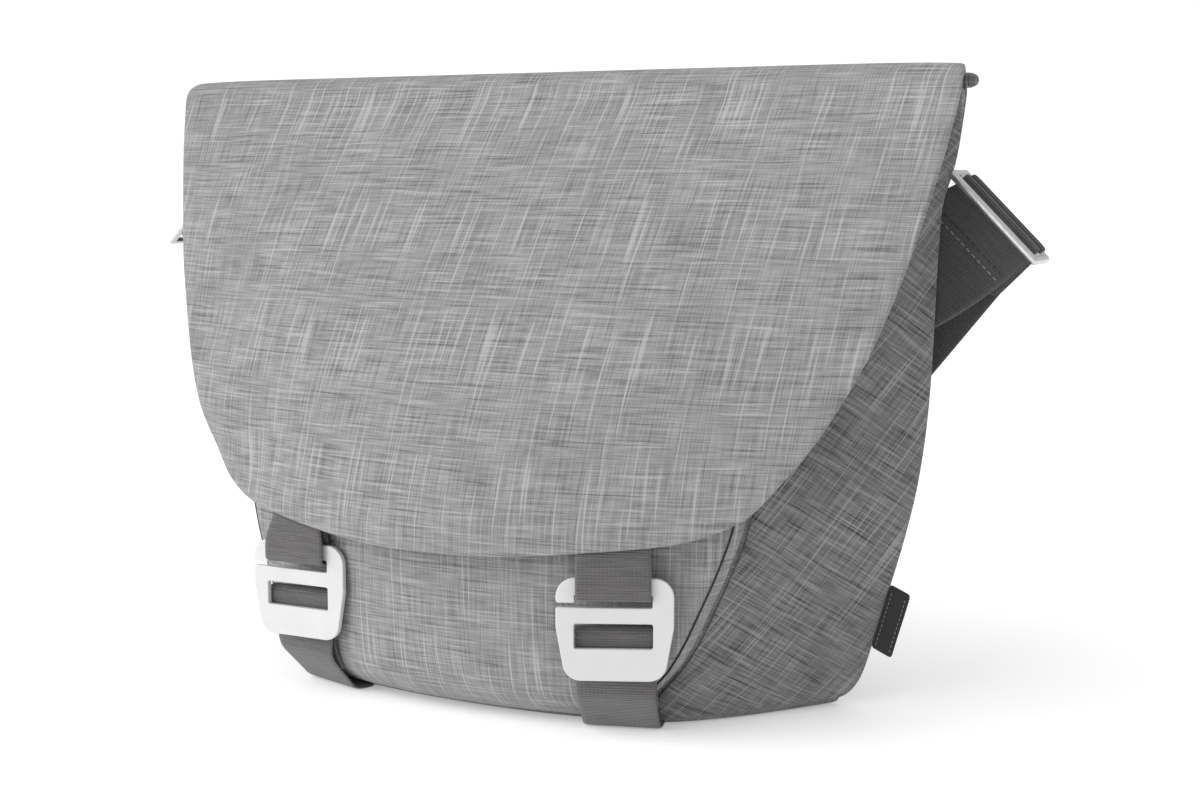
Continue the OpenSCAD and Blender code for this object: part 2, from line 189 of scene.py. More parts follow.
def slub_cloth(name, level, contrast=1.0, pitch=0.00085):
    """Linen-like plain weave: uneven light and dark threads both ways over an even ground."""
    mat, tree, shader = start_material(name, 0.92, sheen=0.12, specular=0.2)
    uv = make_node(tree, "ShaderNodeTexCoord").outputs["UV"]
    wander = noise(tree, uv, 40, 1.0)
    weft = noise(tree, scaled(tree, uv, (50, 1250, 1)), 1.0, 1.0, 0.5)
    warp = noise(tree, scaled(tree, uv, (1250, 40, 1)), 1.0, 1.0, 0.5)
    long_weft = noise(tree, scaled(tree, uv, (24, 760, 1)), 1.0, 0.0)
    long_warp = noise(tree, scaled(tree, uv, (700, 15, 1)), 1.0, 0.0)
    cells = make_node(tree, "ShaderNodeSeparateXYZ", {0: uv})
    turn = 2 * math.pi / pitch
    across = math_node(tree, "SINE", math_node(tree, "MULTIPLY", cells.outputs[0], turn))
    along = math_node(tree, "SINE", math_node(tree, "MULTIPLY", cells.outputs[1], turn))
    check = math_node(tree, "MULTIPLY", across, along)
    threads = math_node(tree, "ADD", ramp(tree, weft, 0.3, 0.7, -0.24, 0.24),
                        ramp(tree, warp, 0.3, 0.7, -0.2, 0.2))
    light = math_node(tree, "ADD", ramp(tree, long_weft, 0.64, 0.73, 0, 0.30),
                      ramp(tree, long_warp, 0.65, 0.73, 0, 0.44))
    dark = math_node(tree, "ADD", ramp(tree, long_weft, 0.36, 0.27, 0, 0.26),
                     ramp(tree, long_warp, 0.34, 0.26, 0, 0.12))
    tone = math_node(tree, "SUBTRACT", math_node(tree, "ADD", threads, light), dark)
    tone = math_node(tree, "ADD", tone, math_node(tree, "MULTIPLY", check, 0.05))
    tone = math_node(tree, "ADD", tone, ramp(tree, wander, 0.3, 0.7, 0.45, 0.55))
    reach = 0.52 * contrast
    colour = mix(tree, tone, grey(level * (1 - reach), 0.012), grey(level * (1 + reach), 0.004))
    height = math_node(tree, "ADD", math_node(tree, "MULTIPLY", check, 0.35), tone)
    finish_material(tree, shader, colour, None, height, 0.5, 0.0004)
    return mat


def ribbed_webbing(name, level, warm=0.05, rib=0.0013):
    """Heavy webbing: fine ribs across its width, faint lines along it and fuzzy wear."""
    mat, tree, shader = start_material(name, 0.78, sheen=0.2, specular=0.3)
    uv = make_node(tree, "ShaderNodeTexCoord").outputs["UV"]
    part = make_node(tree, "ShaderNodeSeparateXYZ", {0: uv})
    u, v = part.outputs[0], part.outputs[1]
    ribs = math_node(tree, "SINE", math_node(tree, "MULTIPLY", v, 2 * math.pi / rib))
    ends = math_node(tree, "SINE", math_node(tree, "MULTIPLY", u, 2 * math.pi / 0.0019))
    streak = noise(tree, scaled(tree, uv, (60, 900, 1)), 1.0, 2.0)
    fuzz = noise(tree, uv, 1600, 3.0, 0.6)
    cloud = noise(tree, uv, 45, 2.0)
    tone = math_node(tree, "ADD", ramp(tree, ribs, -1, 1, 0, 0.32), ramp(tree, ends, -1, 1, 0, 0.12))
    tone = math_node(tree, "ADD", tone, ramp(tree, streak, 0.35, 0.65, 0, 0.3))
    tone = math_node(tree, "ADD", tone, ramp(tree, fuzz, 0.3, 0.7, -0.05, 0.25))
    tone = math_node(tree, "ADD", tone, ramp(tree, cloud, 0.3, 0.7, -0.08, 0.08))
    colour = mix(tree, tone, grey(level * 0.5, warm), grey(level * 1.5, warm))
    rough = ramp(tree, fuzz, 0.3, 0.7, 0.7, 0.92)
    height = math_node(tree, "ADD", math_node(tree, "MULTIPLY", ribs, 0.8),
                       math_node(tree, "MULTIPLY", ends, 0.2))
    finish_material(tree, shader, colour, rough, height, 0.55, 0.0004)
    return mat


def plain_weave(name, level, warm=0.0, pitch=0.0006, roughness=0.75, sheen=0.1):
    """A fine, even weave for lining, tape, thread and foam skin, placed by object coordinates."""
    mat, tree, shader = start_material(name, roughness, sheen=sheen, specular=0.3)
    place = make_node(tree, "ShaderNodeTexCoord").outputs["Object"]
    part = make_node(tree, "ShaderNodeSeparateXYZ", {0: place})
    turn = 2 * math.pi / pitch
    side = math_node(tree, "SINE", math_node(tree, "MULTIPLY", part.outputs[0], turn))
    rise = math_node(tree, "SINE", math_node(tree, "MULTIPLY", part.outputs[2], turn))
    check = math_node(tree, "MULTIPLY", side, rise)
    fuzz = noise(tree, place, 900, 3.0, 0.6)
    tone = math_node(tree, "ADD", ramp(tree, check, -1, 1, 0.1, 0.6), ramp(tree, fuzz, 0.3, 0.7, -0.1, 0.35))
    colour = mix(tree, tone, grey(level * 0.6, warm), grey(level * 1.4, warm))
    finish_material(tree, shader, colour, ramp(tree, fuzz, 0.3, 0.7, roughness - 0.1, roughness + 0.1),
                    math_node(tree, "ADD", check, fuzz), 0.35, 0.0003)
    return mat


def white_paint(name):
    """Satin white coat on a cast plate: faint orange peel, small scuffs and slightly worn tone."""
    mat, tree, shader = start_material(name, 0.38, coat=0.25, coat_rough=0.3, specular=0.45)
    place = make_node(tree, "ShaderNodeTexCoord").outputs["Object"]
    peel = noise(tree, place, 900, 2.0)
    cloud = noise(tree, place, 60, 3.0)
    scuff = noise(tree, scaled(tree, place, (1, 1, 3)), 420, 4.0, 0.7)
    wear = ramp(tree, scuff, 0.66, 0.75)
    clean = mix(tree, ramp(tree, cloud, 0.3, 0.7), grey(0.60), grey(0.64))
    colour = mix(tree, math_node(tree, "MULTIPLY", wear, 0.35), clean, grey(0.52))
    finish_material(tree, shader, colour, ramp(tree, cloud, 0.3, 0.7, 0.33, 0.46), peel, 0.06, 0.0002)
    return mat


def brushed_metal(name, level=0.62):
    """Brushed aluminium with fine lines and slightly dull patches."""
    mat, tree, shader = start_material(name, 0.32, metallic=1.0)
    place = make_node(tree, "ShaderNodeTexCoord").outputs["Object"]
    lines = noise(tree, scaled(tree, place, (300, 4200, 300)), 1.0, 3.0)
    cloud = noise(tree, place, 90, 3.0)
    colour = mix(tree, ramp(tree, lines, 0.3, 0.7), grey(level * 0.85), grey(level * 1.15))
    finish_material(tree, shader, colour, ramp(tree, cloud, 0.3, 0.7, 0.26, 0.46), lines, 0.15, 0.0001)
    return mat


CLOTH = slub_cloth("slub_cloth", 0.250)
# The same cloth, darker and with more contrast, as painted shade: used for the side walls, the base and the
# ridge ends, which face away from the light
CLOTH_PAINTED_SHADE = slub_cloth("slub_cloth_painted_shade", 0.156, 1.45)
WEB_LIGHT = ribbed_webbing("hook_webbing", 0.105)
WEB_DARK = ribbed_webbing("sling_webbing", 0.058)
TAPE = plain_weave("dark_tape", 0.022, 0.03)
LINING = plain_weave("lining_cloth", 0.045, 0.0, 0.0009, 0.7)
THREAD = plain_weave("dark_thread", 0.035, 0.05, 0.0004)
PALE_THREAD = plain_weave("pale_thread", 0.32, 0.0, 0.0004)
FOAM = plain_weave("foam_skin", 0.12, 0.0, 0.0011, 0.9)
BOARD = plain_weave("board_skin", 0.03, 0.0, 0.002, 0.5, 0.0)
PAINT = white_paint("white_paint")
METAL = brushed_metal("brushed_metal")


# ---------------------------------------------------------------- mesh helpers
def add_object(name, mesh, material, body, nodes=()):
    obj = bpy.data.objects.new(name, mesh)
    bpy.context.scene.collection.objects.link(obj)
    mesh.materials.append(material)
    for poly in mesh.polygons:
        poly.use_smooth = True
    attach(obj, body)
    if nodes:
        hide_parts(*nodes)
    return obj


def grid_mesh(name, rows, grain=0.0, closed=False, lean=0.0):
    """A quad mesh from rows of points in mm, with a UV map in metres turned by grain degrees."""
    count, width = len(rows), len(rows[0])
    verts = [Vector(p) * MM for row in rows for p in row]
    wide = width if closed else width - 1
    faces = [(i * width + j, i * width + (j + 1) % width, (i + 1) * width + (j + 1) % width, (i + 1) * width + j)
             for i in range(count - 1) for j in range(wide)]
    mesh = bpy.data.meshes.new(name)
    mesh.from_pydata(verts, [], faces)
    mid = width // 2
    v_at = [0.0]
    for i in range(1, count):
        v_at.append(v_at[-1] + (verts[i * width + mid] - verts[(i - 1) * width + mid]).length)
    place = {}
    for i in range(count):
        run = [0.0]
        for j in range(1, width + (1 if closed else 0)):
            run.append(run[-1] + (verts[i * width + j % width] - verts[i * width + j - 1]).length)
        shift = run[mid]
        place[i] = [r - shift for r in run]
    turn = math.radians(grain)
    layer = mesh.uv_layers.new(name="UVMap")
    loop = 0
    for i in range(count - 1):
        for j in range(wide):
            for (a, b) in ((i, j), (i, j + 1), (i + 1, j + 1), (i + 1, j)):
                v = v_at[a]
                u = place[a][b] - lean * v * v
                layer.data[loop].uv = (u * math.cos(turn) - v * math.sin(turn),
                                       u * math.sin(turn) + v * math.cos(turn))
                loop += 1
    return mesh


def thicken(obj, thick, level=1, offset=-1.0):
    solid = obj.modifiers.new("thickness", "SOLIDIFY")
    solid.thickness = thick * MM
    solid.offset = offset
    solid.use_even_offset = False
    if level:
        round_off = obj.modifiers.new("round", "SUBSURF")
        round_off.levels = level
        round_off.render_levels = level
    return obj


def sheet_piece(name, rows, thick, material, body, nodes=(), grain=0.0, level=1):
    return thicken(add_object(name, grid_mesh(name, rows, grain), material, body, nodes), thick, level)


def soften(obj, pressure, cap, pinned, growth=0.0):
    """Cloth simulation on one sheet: held where pinned(co) is true, moved by at most cap mm."""
    mesh = obj.data
    start = [v.co.copy() for v in mesh.vertices]
    hold = obj.vertex_groups.new(name="hold")
    hold.add([v.index for v in mesh.vertices if pinned(v.co / MM)], 1.0, "REPLACE")
    modifiers = [(m.name, m.show_viewport) for m in obj.modifiers]
    for m in obj.modifiers:
        m.show_viewport = False
    cloth = obj.modifiers.new("cloth", "CLOTH")
    s = cloth.settings
    s.quality = 5
    s.mass = 0.25
    s.tension_stiffness = 25
    s.compression_stiffness = 25
    s.shear_stiffness = 10
    s.bending_stiffness = 0.8
    s.shrink_min = -growth
    s.vertex_group_mass = "hold"
    s.use_pressure = True
    s.uniform_pressure_force = pressure
    s.effector_weights.gravity = 0
    cloth.point_cache.frame_start = 1
    cloth.point_cache.frame_end = 20
    scene = bpy.context.scene
    for f in range(1, 21):
        scene.frame_set(f)
    posed = obj.evaluated_get(bpy.context.evaluated_depsgraph_get())
    moved = [v.co.copy() for v in posed.data.vertices]
    obj.modifiers.remove(cloth)
    scene.frame_set(1)
    for name, shown in modifiers:
        obj.modifiers[name].show_viewport = shown
    limit = cap * MM
    for v, a, b in zip(mesh.vertices, start, moved):
        step = b - a
        far = step.length
        if far > 0:
            step *= limit * math.tanh(far / limit) / far
        v.co = a + step
    obj.vertex_groups.remove(hold)
    mesh.update()


def cord_mesh(name, path, radius, sides=10):
    """A round tube along points in mm."""
    pts = [Vector(p) for p in path]
    rows = []
    side = None
    for i, p in enumerate(pts):
        ahead = (pts[min(i + 1, len(pts) - 1)] - pts[max(i - 1, 0)]).normalized()
        if side is None:
            side = ahead.orthogonal().normalized()
        side = (side - ahead * side.dot(ahead)).normalized()
        up = ahead.cross(side)
        rows.append([p + radius * (math.cos(t) * side + math.sin(t) * up)
                     for t in (2 * math.pi * k / sides for k in range(sides))])
    mesh = grid_mesh(name, rows, closed=True)
    return mesh


def cord_piece(name, path, radius, material, body, nodes=()):
    return add_object(name, cord_mesh(name, path, radius), material, body, nodes)


def stitches(name, path, body, material=THREAD, long=2.6, skip=1.1, radius=0.28):
    """A row of thread stitches along a path in mm: short rounded tubes that dip at both ends."""
    pts = [Vector(p) for p in path]
    verts, faces = [], []
    total = sum((b - a).length for a, b in zip(pts, pts[1:]))

    def point(d):
        for a, b in zip(pts, pts[1:]):
            step = (b - a).length
            if d <= step:
                return a.lerp(b, d / step if step else 0)
            d -= step
        return pts[-1]
    d = skip
    while d + long < total:
        a, b = point(d), point(d + long)
        ahead = (b - a).normalized()
        side = ahead.orthogonal().normalized()
        up = ahead.cross(side)
        base = len(verts)
        for t, r in ((0, 0.15), (0.12, 0.8), (0.5, 1), (0.88, 0.8), (1, 0.15)):
            c = a.lerp(b, t)
            verts += [(c + radius * r * (math.cos(w) * side + math.sin(w) * up)) * MM
                      for w in (2 * math.pi * k / 6 for k in range(6))]
        for ring in range(4):
            for k in range(6):
                n = (k + 1) % 6
                faces.append((base + ring * 6 + k, base + ring * 6 + n, base + ring * 6 + 6 + n,
                              base + ring * 6 + 6 + k))
        faces.append(tuple(base + k for k in range(5, -1, -1)))
        faces.append(tuple(base + 24 + k for k in range(6)))
        d += long + skip
    mesh = bpy.data.meshes.new(name)
    mesh.from_pydata(verts, [], faces)
    return add_object(name, mesh, material, body)


def ripple(x, z, size=1.0):
    """A soft, fixed unevenness of sewn cloth, in mm."""
    return size * (0.55 * math.sin(x * 0.031 + 1.3 * math.sin(z * 0.021)) * math.sin(z * 0.027 + 0.6)
                   + 0.3 * math.sin(x * 0.067 - z * 0.043 + 2.0) + 0.15 * math.sin(x * 0.11 + z * 0.09))


# ---------------------------------------------------------------- the body
WALL_Z = [3, 5, 8, 12, 17, 24, 32] + spread(42, BODY_TOP, 30)


def side_start(z):
    """Where the side wall begins in front: at the pocket's edge, and at the corner above it."""
    w = min(1, max(0, (z - 150) / 45))
    half = (at(POCKET_HALF, z) + 1.3) * (1 - w) + at(FRONT_HALF, z) * w
    return Vector((half, front_y(half, z) - 0.9 * (1 - w), z))


def side_path(z, count):
    """One level of the side wall, from the pocket's edge round the corner to the back edge."""
    a, c = side_start(z), Vector((at(BACK_HALF, z), at(BACK_Y, z), z))
    half = at(FRONT_HALF, z)
    b = Vector((half, front_y(half, z), z)) + Vector((2, -3, 0))
    return [a.lerp(b, w).lerp(b.lerp(c, w), w) for w in spread(0, 1, count)]


def build_front_panel():
    rows = []
    for z in WALL_Z:
        half = side_start(z).x + 1
        rows.append([(u * half, front_y(u * half, z) + 0.9, z) for u in spread(-1, 1, 41)])
    sheet_piece("front_panel_cloth", rows, 1.6, CLOTH, "bag", ["front_panel"])


def gusset_rows(columns=29):
    """The side wall as seen from outside: it swells low down and folds inwards under the mouth."""
    rows = []
    for z in WALL_Z + [289, 294, 299, 303]:
        row = []
        path = side_path(z, columns)
        for w, p in zip(spread(0.0, 1.0, columns), path):
            ahead = (path[-1] - path[0]).normalized()
            out = Vector((ahead.y, -ahead.x, 0))
            arch = math.sin(math.pi * w)
            swell = 1.2 * arch * math.sin(math.pi * min(1, z / 210))
            fold = -5.0 * arch * max(0.0, (z - 190) / 95) ** 1.5
            crease = math.sin(w * 17 + z * 0.02) * arch * max(0.0, (z - 160) / 90)
            dimple = 0.7 * arch * math.sin(w * 9 - z * 0.045) * math.sin(z * 0.03)
            row.append(p + out * (swell + fold + crease + dimple))
        rows.append(row)
    return rows


def build_gussets():
    for name, side in (("right", 1), ("left", -1)):
        rows = gusset_rows()
        if side < 0:
            rows = [[Vector((-p.x, p.y, p.z)) for p in reversed(row)] for row in rows]
        piece = add_object(name + "_gusset_cloth", grid_mesh(name + "_gusset_cloth", rows, grain=side * 28),
                           CLOTH_PAINTED_SHADE, "bag", [name + "_gusset"])
        edge = [Vector(p) for r in rows for p in (r[0], r[-1])] + [Vector(p) for p in rows[0] + rows[-1]]
        keys = {tuple(round(c, 1) for c in p) for p in edge}
        soften(piece, 2.5, 1.6, lambda co: tuple(round(c, 1) for c in co) in keys, 0.004)
        thicken(piece, 1.6)


def build_back():
    levels = WALL_Z + [289, 294, 299, 303.5]
    rows = [[(-u * (at(BACK_HALF, z) - 0.4),
              at(BACK_Y, z) + 2.0 * (1 - abs(u) ** 6) * math.sin(math.pi * z / 292),
              z) for u in spread(-1, 1, 49)] for z in levels]
    piece = add_object("back_panel_cloth", grid_mesh("back_panel_cloth", rows), CLOTH, "bag",
                       ["back_panel"])
    thicken(piece, 1.6)
    edge = at(BACK_HALF, 100)
    soften(piece, 1.2, 2.0, lambda co: co.z < 4 or co.z > 283 or abs(co.x) > at(BACK_HALF, co.z) - 2
           or abs(abs(co.x) - edge * 0.5) < 2.2, 0.002)
    for k, x in enumerate((-100, 100)):
        stitches("back_quilting_%d" % k, [(x, at(BACK_Y, z) + 2.2, z) for z in spread(20, 270, 60)], "bag")
    pad = [[(-u * (at(BACK_HALF, z) - 14), at(BACK_Y, z) - 3.4 - 0.8 * abs(u) ** 8, z)
            for u in spread(-1, 1, 15)] for z in spread(18, 260, 12)]
    foam = sheet_piece("back_foam", pad, 5, FOAM, "bag", ["back_padding"])


def body_ring(z, inset):
    """The body's outline at height z, moved inwards, anticlockwise from the front left."""
    side = side_path(z, 16)
    start = side[0]
    front = [Vector((u * start.x, front_y(u * start.x, z), z)) for u in spread(-1, 1, 31)[1:-1]]
    back = [Vector((u * side[-1].x, side[-1].y, z)) for u in spread(1, -1, 25)[1:-1]]
    ring = [Vector((-p.x, p.y, z)) for p in reversed(side)] + front + side + back
    middle = Vector((0, 8, z))
    return [(p - (p - middle).normalized() * inset)[:2] for p in ring]


def build_base():
    rings = [(5.4, 0.1), (3.3, 0.7), (1.4, 2.0), (0.5, 4), (0.1, 7), (0, 10)]
    rows = [[(x, y, z) for x, y in body_ring(3, inset)] for z, inset in rings]
    middle = Vector((0, 8, 0))
    for f in (0.75, 0.5, 0.25, 0.02):
        rows.append([middle.lerp(Vector(p), f) for p in rows[5]])
    mesh = grid_mesh("base_cloth", [list(reversed(r)) for r in rows], closed=True)
    piece = add_object("base_cloth", mesh, CLOTH_PAINTED_SHADE, "bag", ["base_panel"])
    thicken(piece, 1.4, 0)
    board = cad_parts["base_board"]
    board.data.materials.clear()
    board.data.materials.append(BOARD)


def build_lining():
    levels = [7] + WALL_Z[4:-1] + [280]
    rows = [[(x, y, z) for x, y in lining_ring(z)] for z in levels]
    floor_ring = rows[0]
    middle = Vector((0, 8, 7))
    fan = [[middle.lerp(Vector(p), f) for p in floor_ring] for f in (0.02, 0.4, 0.8)]
    piece = add_object("lining_cloth", grid_mesh("lining_cloth", fan + rows, closed=True), LINING, "bag",
                       ["lining"])
    thicken(piece, 0.6, 0)


def lining_ring(z):
    """Inside the foam at the back and close to the cloth elsewhere."""
    half = min(at(FRONT_HALF, z) - 10, side_start(z).x - 3)
    front = [(u * half, front_y(u * half, z) + 4.6) for u in spread(-1, 1, 31)]
    b, y = at(BACK_HALF, z) - 16, at(BACK_Y, z) - 9
    return front + [(b, y)] + [(b * u, y) for u in (0.5, 0, -0.5)] + [(-b, y)]


def build_inside():
    sleeve = [[(u * (at(BACK_HALF, z) - 45), at(BACK_Y, z) - 15.6 - 1.2 * abs(u) ** 6 * -1, z)
               for u in spread(-1, 1, 25)] for z in spread(12, 224, 22)]
    piece = sheet_piece("laptop_sleeve_pad", sleeve, -3.8, LINING, "bag", ["laptop_sleeve"])
    top = [(p[0], p[1] + 1.9, 224.6) for p in sleeve[-1]]
    cord_piece("sleeve_binding", top, 2.2, TAPE, "bag")
    pocket = [[(u * (95 + 0.1 * (z - 20)), front_y(u * (95 + 0.1 * (z - 20)), z) + 9, z)
               for u in spread(-1, 1, 25)] for z in spread(20, 169, 16)]
    sheet_piece("organiser_cloth", pocket, 0.7, LINING, "bag", ["organiser_pocket"])
    stitches("organiser_divider", [(20, front_y(20, z) + 10, z) for z in spread(22, 166, 40)], "bag")


def band_between(path, across, width, thick, name, material, body, nodes=(), columns=9):
    """A flat webbing along points (mm) with a width direction at each, rounded at its edges."""
    pts = [Vector(p) for p in path]
    rows = []
    for i, p in enumerate(pts):
        side = Vector(across[i] if isinstance(across, list) else across).normalized()
        rows.append([p + side * width * k for k in spread(-0.5, 0.5, columns)])
    piece = add_object(name, grid_mesh(name, rows), material, body, nodes)
    thicken(piece, thick, 1, 0.0)
    return piece


def smooth_path(points, steps=6):
    """A Catmull-Rom curve through the points."""
    pts = [Vector(p) for p in points]
    out = []
    for i in range(len(pts) - 1):
        a, b = pts[max(i - 1, 0)], pts[i]
        c, d = pts[i + 1], pts[min(i + 2, len(pts) - 1)]
        for k in range(steps):
            t = k / steps
            out.append(0.5 * ((2 * b) + (c - a) * t + (2 * a - 5 * b + 4 * c - d) * t * t
                              + (3 * b - a - 3 * c + d) * t ** 3))
    return out + [pts[-1]]


def build_mouth():
    z = BODY_TOP + 1.6
    rim = [(x, front_y(x, BODY_TOP) + 0.8, z) for x in spread(-204, 204, 41)]
    cord_piece("mouth_tape", rim, 2.0, TAPE, "bag", ["mouth_binding"])
    seam = [[(-x, y, h) for x in spread(-215, 215, 33)] for y, h in
            ((49.4, 288), (50.4, 290), (50.9, 295), (50.4, 299.5), (48.6, 300.6))]
    sheet_piece("top_seam_tape", seam, 1.4, CLOTH, "bag", ["top_seam"])
    for name, side in (("left", -1), ("right", 1)):
        stub = []
        for x, r in ((210, 3.2), (221, 3.3), (224, 3.1), (226, 2.4), (227, 1.3), (227.3, 0.2)):
            turns = [math.radians(-side * t) for t in spread(0, 342, 20)]
            stub.append([(side * x, 48.5 + r * math.cos(t), 306 + 1.1 * r * math.sin(t)) for t in turns])
        mesh = grid_mesh("ridge_stub_" + name, stub, closed=True)
        add_object("ridge_stub_" + name, mesh, CLOTH_PAINTED_SHADE, "flap")
    stitches("top_seam_stitches", [(x, 50.7, 291.5) for x in spread(-212, 212, 60)], "bag", PALE_THREAD)


# ---------------------------------------------------------------- the front pocket
def pocket_depth(u, z):
    """How far the pocket stands out at a fraction across: full in front, rounded into its sides."""
    side = (1 - abs(u) ** 60) ** (1 / 2.2)
    low = min(1.0, max(0.0, (z - 2.5) / 12)) ** 0.5
    return at(POCKET_OFF, z) * side * low


def build_pocket():
    edge = [0.93, 0.955, 0.975, 0.99, 0.998, 1]
    us = [-u for u in reversed(edge)] + spread(-0.89, 0.89, 39) + edge
    levels = [3, 4.5, 6.5, 9, 12, 16, 21] + spread(27, 158, 26)
    rows = []
    for z in levels:
        row = []
        for u in us:
            x = u * (at(POCKET_HALF, z) - 0.5)
            row.append((x, front_y(x, z) - 0.4 - pocket_depth(u, z) + ripple(x, z, 0.5), z))
        rows.append(row)
    piece = add_object("pocket_cloth", grid_mesh("pocket_cloth", rows), CLOTH, "bag",
                       ["pocket_front", "pocket_left_side", "pocket_right_side"])
    thicken(piece, 1.5)
    soften(piece, 2.0, 1.6, lambda co: co.z < 8 or abs(co.x) > at(POCKET_HALF, co.z) * 0.94 or co.z > 156
           or abs(abs(co.x) - STRAP_X) < 21, 0.003)
    for name, s in (("left", -1), ("right", 1)):
        seam = []
        for z in spread(9, 156, 40):
            x = s * 0.985 * (at(POCKET_HALF, z) - 0.5)
            seam.append((x, front_y(x, z) - 0.5 - pocket_depth(0.985, z) + ripple(x, z, 0.5), z))
        cord_piece("pocket_seam_" + name, seam, 0.5, TAPE, "bag",
                   ["pocket_piping"] if s > 0 else [])
    hem = [[(u * 143, front_y(u * 143, z) - pocket_depth(0.5, 158) - 0.6 + (z - 154) * 0.18, z)
            for u in spread(-0.98, 0.98, 41)] for z in (154, 157, 160, 162.6)]
    sheet_piece("pocket_hem_tape", hem, 2.0, TAPE, "bag", ["pocket_hem"])


# ---------------------------------------------------------------- straps, hooks and loops
def station(side):
    """The local place of one front strap: y = 0 is the pocket's surface."""
    origin = Vector((side * STRAP_X, pocket_y(STRAP_X, BAR_Z), 0))
    return Matrix.Translation(origin) @ Matrix.Rotation(math.radians(side * STRAP_YAW), 4, "Z")


def placed(matrix, points):
    return [matrix @ Vector(p) for p in points]


def arc(centre_y, centre_z, radius, start, end, steps=10):
    return [(centre_y + radius * math.cos(math.radians(a)), centre_z + radius * math.sin(math.radians(a)))
            for a in spread(start, end, steps)]


def sag(z):
    """How much further in the pocket's surface is low down than at the hook."""
    return pocket_y(STRAP_X, z) - pocket_y(STRAP_X, BAR_Z)


def hook_station(side):
    """The hook's local place: it hangs turned to the right of the strap's seat and stands off it."""
    turn, off, along = HANG[side]
    pivot = Matrix.Translation((0, BAR_Y, 0))
    spin = pivot @ Matrix.Rotation(math.radians(turn), 4, "Z") @ pivot.inverted()
    return station(side) @ Matrix.Translation((along, off, 0)) @ spin


def turned_band(name, side, profile, width, thick, nodes, body="bag", centre=0.0):
    """Webbing on a (y, z, turn) profile: turn 0 lies on the pocket and 1 follows the hook."""
    flat, swung = station(side) @ Matrix.Translation((HANG[side][2] * 0.8, 0, 0)), hook_station(side)
    rows = []
    for y, z, turn in profile:
        row = [(centre + width * k, y, z) for k in spread(-0.5, 0.5, 11)]
        rows.append([a.lerp(b, turn) for a, b in zip(placed(flat, row), placed(swung, row))])
    piece = add_object(name, grid_mesh(name, rows), WEB_LIGHT, body, nodes)
    thicken(piece, thick, 1, 0.0)


def build_strap(name, side):
    """Up from under the base, round the hook's bar and down again on the pocket."""
    low = [(sag(3) + 12, 0.8, 0), (sag(3) + 4, 0.8, 0), (sag(3) - 0.6, 2.0, 0.05), (sag(6) - 2.6, 6, 0.08)]
    swing = [(sag(12) - 4.2, 13, 0.15), (-3.8, 21, 0.3), (-5.0, 30, 0.55), (-6.9, 38, 0.85), (-7.9, 45, 1)]
    fold = [(y, z, 1) for y, z in arc(BAR_Y - 0.4, BAR_Z - 1.0, 3.3, 172, 0, 12)]
    back = [(-1.8, 44, 0.9), (-1.7, 34, 0.5), (-1.5, 26, 0.2), (sag(18) - 1.1, 18, 0),
            (sag(12) - 1.1, 12, 0)]
    front = [tuple(p) for p in smooth_path(low + swing + fold[:1], 3)]
    turned_band(name + "_strap_webbing", side, front + fold[1:] + back, STRAP_W + 1 - side, WEB_T,
                [name + "_strap"],
                centre=0.8 * side - 0.8)
    tail = [(-3.2, 31, 0.55), (-3.5, 35, 0.7), (-4.0, 39, 0.85), (-4.3, 43, 1)]
    turned_band(name + "_strap_tail_webbing", side, tail, 30, 1.5, [name + "_strap_tail"])


def turn_corner(x, z, r, start, end, n=9):
    return [(x + r * math.cos(math.radians(t)), z + r * math.sin(math.radians(t)))
            for t in spread(start, end, n)]


def hook_outline():
    """The plate's outline as (x, z) points, with the slot for the loop cut in from the left."""
    slot, entry, arm, top = HOOK_LOW + 34.5, HOOK_LOW + 36.8, HOOK_LOW + 40.7, HOOK_LOW + 48.4
    out = turn_corner(18.3, top - 9, 9, 2, 90) + turn_corner(-18.3, top - 9, 9, 90, 178)
    out += turn_corner(-25.9, entry + 1.4, 1.4, 180, 270, 5)
    out += turn_corner(-19.4, entry + 0.8, 0.8, 270, 360, 4)
    out += turn_corner(-17.6, arm - 1, 1, 180, 90, 4) + turn_corner(16.2, arm - 1.2, 1.2, 90, 0, 5)
    out += turn_corner(16.6, slot + 0.8, 0.8, 0, -90, 4) + turn_corner(-26.2, slot - 1.1, 1.1, 90, 180, 5)
    out += turn_corner(-19.3, HOOK_LOW + 26, 8, 180, 192, 4)
    out += turn_corner(-15.7, HOOK_LOW + 8.5, 8.5, 194, 270) + turn_corner(15.7, HOOK_LOW + 8.5, 8.5, 270, 346)
    return out + turn_corner(19.3, HOOK_LOW + 26, 8, -12, 2, 4)


def window_outline():
    low, high, r = HOOK_LOW + 15.1, HOOK_LOW + 27, 1
    return (turn_corner(17.7 - r, high - r, r, 0, 90, 5) + turn_corner(r - 18.9, high - r, r, 90, 180, 5)
            + turn_corner(r - 18.9, low + r, r, 180, 270, 5)
            + turn_corner(17.7 - r, low + r, r, 270, 360, 5))


